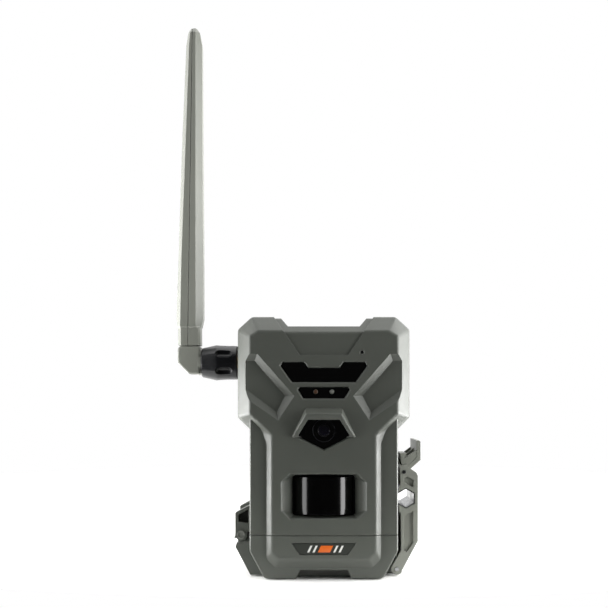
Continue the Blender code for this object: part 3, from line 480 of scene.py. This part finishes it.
# ---- sub-assemblies ------------------------------------------------------------------------------
@dataclass
class Casing:
    """The two shells of the casing, what holds them together and the microphone's port."""

    rounding: Rounding = MOULDED
    screws: int = 4
    port_x: float = 18.8
    port_z: float = 112.0

    def build(self) -> None:
        """Makes the shells and dresses what holds them together."""
        for node in ("front_shell", "rear_shell"):
            hand_over(rounded_copy(node, self.rounding), node + "_moulding", "housing", Finishes.CASING,
                      (node,))
        dress(("hinge_pin",), Finishes.PIN)
        dress(("shell_seal",), Finishes.RUBBER)
        dress([f"shell_screw_{i}" for i in range(1, self.screws + 1)], Finishes.STEEL)
        dress(("tripod_insert",), Finishes.BRASS)
        self.build_microphone_rim()

    def build_microphone_rim(self) -> None:
        """The small raised rim around the microphone's port, and the mesh in it."""
        ring = add_ring(1.45, 0.85, (self.port_x, FACE_Y - 0.14, self.port_z), 0.3, 32)
        hand_over(ring, "microphone_rim", "housing", Finishes.CASING)
        mesh = add_disc(0.78, (self.port_x, FACE_Y + 0.5, self.port_z), 0.3, 24)
        apply_modifier(mesh, "BEVEL", width=0.08 * MM, segments=2, limit_method="ANGLE")
        hand_over(mesh, "microphone_mesh", "housing", Finishes.RUBBER)


@dataclass
class FrontWindows:
    """The flash window, the sensor window and the panes' small parts."""

    status_x: float = 4.0
    status_z: float = 92.6

    def build(self) -> None:
        """Dresses the panes and makes the two domes seen in the sensor window."""
        for node in ("flash_window", "sensor_window", "lens_window"):
            pane = rounded_copy(node, Rounding(0.25, 2, 0.05, 30.0))
            hand_over(pane, node + "_pane", "housing", Finishes.SMOKED, (node,))
        domes = (
            ("light_dome", -self.status_x, Finishes.AMBER_DOME),
            ("status_dome", self.status_x, Finishes.PALE_DOME),
        )
        for name, x, finish in domes:
            hand_over(self.build_dome(x), name, "housing", finish)
        dress(("light_sensor", "status_diode"), Finishes.PALE_DOME)
        dress(("flash_board",), Finishes.BOARD)
        dress([f"flash_diode_{i}" for i in range(1, 5)], Finishes.COATED)
        dress(("microphone",), Finishes.TRAY)

    def build_dome(self, x: float) -> bpy.types.Object:
        """A low epoxy dome in its hole in the pane.

        Args:
            x: its place across the window in millimetres.

        Returns:
            The dome.
        """
        dome = add_disc(1.15, (x, FACE_Y + 0.75, self.status_z), 1.0, 32)
        make_active(dome)
        bpy.ops.object.mode_set(mode="EDIT")
        bpy.ops.mesh.select_mode(type="FACE")
        bpy.ops.mesh.select_all(action="DESELECT")
        bpy.ops.object.mode_set(mode="OBJECT")
        for face in dome.data.polygons:
            face.select = face.normal.y < -0.9
        bpy.ops.object.mode_set(mode="EDIT")
        bpy.ops.mesh.inset(thickness=0.35 * MM)
        bpy.ops.transform.translate(value=(0.0, -0.22 * MM, 0.0))
        bpy.ops.mesh.inset(thickness=0.35 * MM)
        bpy.ops.transform.translate(value=(0.0, -0.08 * MM, 0.0))
        bpy.ops.object.mode_set(mode="OBJECT")
        bpy.ops.object.shade_smooth_by_angle(angle=math.radians(60.0))
        return dome


@dataclass
class LensGroup:
    """The lens behind its pane, with the rings that show through."""

    centre_z: float = 73.5
    pane_front: float = FACE_Y + 1.2

    def build(self) -> None:
        """Dresses the barrel and makes the rings."""
        dress(("lens_barrel",), Finishes.TRAY)
        dress(("lens_glass",), Finishes.COATED)
        dress(("image_sensor",), Finishes.SMOKED)
        for name, outer, inner in (("lens_outer_ring", 5.75, 5.3), ("lens_inner_ring", 3.15, 2.8)):
            ring = add_ring(outer, inner, (0.0, self.pane_front - 0.06, self.centre_z), 0.1)
            hand_over(ring, name, "housing", Finishes.RING)
        dome = self.build_front_glass()
        hand_over(dome, "lens_front_glass", "housing", Finishes.COATED)

    def build_front_glass(self) -> bpy.types.Object:
        """The low crown of glass that stands in the middle of the pane."""
        deselect_everything()
        bpy.ops.mesh.primitive_uv_sphere_add(segments=48, ring_count=24, radius=2.7 * MM)
        crown = bpy.context.object
        bpy.ops.object.mode_set(mode="EDIT")
        bpy.ops.mesh.select_all(action="SELECT")
        bpy.ops.transform.resize(value=(1.0, 0.12, 1.0))
        bpy.ops.object.mode_set(mode="OBJECT")
        crown.location = (0.0, self.pane_front * MM, self.centre_z * MM)
        bpy.ops.object.shade_smooth()
        return crown


@dataclass
class HeatSensor:
    """The motion sensor's bowed lens in its recess."""

    rounding: Rounding = Rounding(0.2, 2, 0.05, 40.0)

    def build(self) -> None:
        """Makes the smooth bowed lens and dresses the can behind it."""
        piece = rounded_copy("pir_lens", self.rounding)
        hand_over(piece, "heat_lens", "housing", Finishes.HEAT_LENS, ("pir_lens",))
        dress(("motion_sensor",), Finishes.STEEL)


@dataclass
class BatteryDoor:
    """The drop-down lower casing with its badge and seal."""

    badge_front: float = FACE_Y + 0.1
    bar_slant: float = 1.6
    bar_low: float = 13.6
    bar_high: float = 16.9

    def build(self) -> None:
        """Makes the door's moulding and its badge pattern."""
        hand_over(rounded_copy("battery_door", MOULDED), "battery_door_moulding", "door",
                  Finishes.CASING, ("battery_door",))
        dress(("door_seal",), Finishes.RUBBER)
        dress(("latch_pin",), Finishes.STEEL)
        dress(("badge_plate",), Finishes.BADGE_GROUND)
        self.build_bars()

    def build_bars(self) -> None:
        """Slanted enamel bars, a made-up pattern: one wide orange bar between thin white ones."""
        thin = [(left, 1.0, Finishes.BADGE_WHITE) for left in (-8.2, -5.6, 4.6, 7.2)]
        bars = [*thin, (-3.0, 6.0, Finishes.BADGE_ORANGE)]
        for number, (left, width, finish) in enumerate(bars, 1):
            right = left + width
            outline = [(left, self.bar_low), (right, self.bar_low)]
            outline += [(right + self.bar_slant, self.bar_high), (left + self.bar_slant, self.bar_high)]
            bar = add_plate(outline, self.badge_front - 0.12, 0.16, 0.03)
            hand_over(bar, f"badge_bar_{number}", "door", finish)


@dataclass
class Latch:
    """The lever, its lock sleeve and the sprung hook."""

    rounding: Rounding = Rounding(0.22, 2, 0.04, 30.0)

    def build(self) -> None:
        """Makes the rounded lever and hook and dresses their pins."""
        for node, body in (("latch_lever", "lever"), ("latch_hook", "hook")):
            piece = rounded_copy(node, self.rounding)
            hand_over(piece, node + "_moulding", body, Finishes.AERIAL, (node,))
        dress(("hook_pin", "lock_sleeve"), Finishes.STEEL)


@dataclass
class Aerial:
    """The grip nut, the elbow and the two halves of the blade."""

    def build(self) -> None:
        """Makes the rounded pieces and dresses the metal inside."""
        hand_over(rounded_copy("antenna_nut", Rounding(0.25, 2, 0.05, 22.0)), "antenna_grip_nut", "nut",
                  Finishes.GRIP, ("antenna_nut",))
        hand_over(rounded_copy("antenna_elbow", MOULDED), "antenna_elbow_moulding", "elbow",
                  Finishes.AERIAL, ("antenna_elbow",))
        for node in ("antenna_blade_left", "antenna_blade_right"):
            hand_over(rounded_copy(node, Rounding(0.35, 2, 0.08, 12.0)), node + "_moulding", "blade",
                      Finishes.AERIAL, (node,))
        dress(("antenna_tongue",), Finishes.AERIAL)
        dress(("tilt_pin",), Finishes.STEEL)
        dress(("aerial_socket", "socket_locknut", "aerial_rod"), Finishes.BRASS)
        dress(("aerial_lead",), Finishes.RUBBER)


@dataclass
class BatteryBay:
    """What shows when the door is open: tray, cells, panel, button and card."""

    cells: int = 8
    band_height: float = 9.0

    def build(self) -> None:
        """Dresses the bay and prints a band on each cell."""
        for number in range(1, self.cells + 1):
            self.build_band(number)
        dress(("battery_tray", "bay_divider", "control_panel"), Finishes.TRAY)
        dress(("contact_board", "main_board"), Finishes.BOARD)
        dress([f"cell_{i}" for i in range(1, self.cells + 1)], Finishes.SLEEVE)
        dress(("power_button",), Finishes.RUBBER)
        dress(("card_slot",), Finishes.STEEL)
        dress(("memory_card",), Finishes.TRAY)

    def build_band(self, number: int) -> None:
        """The coloured band of the sleeve, around the lower end of a cell.

        Args:
            number: which cell.
        """
        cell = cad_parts[f"cell_{number}"]
        points = [cell.matrix_world @ vertex.co for vertex in cell.data.vertices]
        low = [min(point[axis] for point in points) for axis in range(3)]
        high = [max(point[axis] for point in points) for axis in range(3)]
        middle = ((low[0] + high[0]) / 2, (low[1] + high[1]) / 2, low[2] + 1.1 * self.band_height * MM)
        deselect_everything()
        bpy.ops.mesh.primitive_cylinder_add(
            vertices=48, radius=(high[0] - low[0]) / 2 + 0.04 * MM, depth=self.band_height * MM,
            end_fill_type="NOTHING", location=middle,
        )
        band = bpy.context.object
        apply_modifier(band, "SOLIDIFY", thickness=0.05 * MM, offset=-1.0)
        bpy.ops.object.shade_smooth_by_angle(angle=math.radians(40.0))
        hand_over(band, f"cell_band_{number}", "housing", Finishes.SLEEVE_BAND)


def dress(nodes: Iterable[str], finish: Finishes) -> None:
    """Gives each of the model's own nodes a finish.

    Args:
        nodes: their names.
        finish: what they are made of.
    """
    for name in nodes:
        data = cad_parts[name].data
        data.materials.clear()
        data.materials.append(finish.material)
        LOG.info("%s: %s", name, finish.value.title)


# ---- studio --------------------------------------------------------------------------------------
@dataclass(frozen=True)
class Softbox:
    """A rectangular soft light: where it stands, what it faces, its size and its power."""

    name: str
    place: Point
    width: float
    height: float
    power: float
    aim: Point = (0.0, 0.0, 0.075)

    def build(self) -> None:
        """Adds the light."""
        data = bpy.data.lights.new(self.name, "AREA")
        data.shape = "RECTANGLE"
        data.size, data.size_y = self.width, self.height
        data.energy = self.power
        light = bpy.data.objects.new(self.name, data)
        light.location = self.place
        direction = Vector(self.aim) - Vector(self.place)
        light.rotation_euler = direction.to_track_quat("-Z", "Y").to_euler()
        bpy.context.scene.collection.objects.link(light)


@dataclass
class Studio:
    """Camera, lights, floor and white surround."""

    distance: float = 0.52
    axis_x: float = -0.0045
    axis_z: float = 0.0872
    frame_width: float = 0.2988
    middle_x: float = -0.00975
    middle_z: float = 0.1357
    front: float = FACE_Y * MM
    ambient: float = 0.17

    def build(self) -> None:
        """Sets everything up."""
        self.build_camera()
        self.build_lights()
        self.build_floor()
        self.build_world()
        view = bpy.context.scene.view_settings
        view.view_transform = "Standard"
        view.look = "None"

    def build_camera(self) -> None:
        """A level view square to the front, framed by a small shift."""
        data = bpy.data.cameras.new("camera")
        data.sensor_width = 36.0
        data.lens = 36.0 * self.distance / self.frame_width
        data.shift_x = (self.middle_x - self.axis_x) / self.frame_width
        data.shift_y = (self.middle_z - self.axis_z) / self.frame_width
        data.clip_start = 0.01
        data.clip_end = 20.0
        camera = bpy.data.objects.new("camera", data)
        camera.location = (self.axis_x, self.front - self.distance, self.axis_z)
        camera.rotation_euler = (math.pi / 2, 0.0, 0.0)
        bpy.context.scene.collection.objects.link(camera)
        bpy.context.scene.camera = camera

    def build_lights(self) -> None:
        """Tall softboxes at both sides, low strips under them, a lit backdrop and one light above."""
        boxes = [
            Softbox("left_key", (-0.60, -0.30, 0.18), 0.24, 0.7, 2.3),
            Softbox("right_key", (0.60, -0.30, 0.18), 0.24, 0.7, 3.9),
            Softbox("left_rim", (-0.42, 0.12, 0.42), 0.34, 0.84, 3.2, aim=(0.0, 0.12, 0.42)),
            Softbox("right_rim", (0.42, 0.12, 0.42), 0.34, 0.84, 4.8, aim=(0.0, 0.12, 0.42)),
            Softbox("left_low", (-0.26, 0.0, 0.03), 0.16, 0.10, 1.15, aim=(0.0, 0.0, 0.12)),
            Softbox("right_low", (0.26, 0.0, 0.03), 0.16, 0.10, 1.15, aim=(0.0, 0.0, 0.12)),
            Softbox("backdrop", (0.0, 0.95, 0.35), 2.6, 1.8, 14.0, aim=(0.0, 0.0, 0.35)),
            Softbox("overhead", (0.0, 0.25, 1.1), 1.6, 1.4, 14.0, aim=(0.0, 0.25, 0.0)),
        ]
        for softbox in boxes:
            softbox.build()

    def build_floor(self) -> None:
        """A round pale floor just under the trail camera, ending in front of the backdrop."""
        deselect_everything()
        bpy.ops.mesh.primitive_circle_add(
            vertices=96, radius=0.5, fill_type="NGON", location=(0.0, 0.42, -0.0003)
        )
        floor = bpy.context.object
        floor.name = "floor"
        material = bpy.data.materials.new("pale_floor")
        material.use_nodes = True
        shader = material.node_tree.nodes["Principled BSDF"]
        shader.inputs["Base Color"].default_value = linear("EDEDEB")
        shader.inputs["Roughness"].default_value = 0.9
        floor.data.materials.append(material)

    def build_world(self) -> None:
        """White where the camera looks, and a dim even fill everywhere else."""
        world = bpy.data.worlds.new("studio")
        bpy.context.scene.world = world
        world.use_nodes = True
        tree = world.node_tree
        tree.nodes.clear()
        seen = add_node(tree, "ShaderNodeBackground", {"Color": (1.0, 1.0, 1.0, 1.0), "Strength": 1.0})
        white = (1.0, 1.0, 1.0, 1.0)
        fill = add_node(tree, "ShaderNodeBackground", {"Color": white, "Strength": self.ambient})
        dark = add_node(tree, "ShaderNodeBackground", {"Color": (1.0, 1.0, 1.0, 1.0), "Strength": 0.02})
        path = add_node(tree, "ShaderNodeLightPath")
        unseen = add_node(
            tree, "ShaderNodeMixShader",
            {0: path.outputs["Is Glossy Ray"], 1: fill.outputs[0], 2: dark.outputs[0]},
        )
        mixed = add_node(
            tree, "ShaderNodeMixShader",
            {0: path.outputs["Is Camera Ray"], 1: unseen.outputs[0], 2: seen.outputs[0]},
        )
        add_node(tree, "ShaderNodeOutputWorld", {"Surface": mixed.outputs[0]})


def main() -> None:
    """Builds the studio and every sub-assembly in order."""
    logging.basicConfig(level=logging.INFO, format="%(name)s %(message)s")
    Studio().build()
    kinds = (Casing, FrontWindows, LensGroup, HeatSensor, BatteryDoor, Latch, Aerial, BatteryBay)
    for kind in kinds:
        LOG.info("building %s", kind.__name__)
        kind().build()


if __name__ == "__main__":
    main()
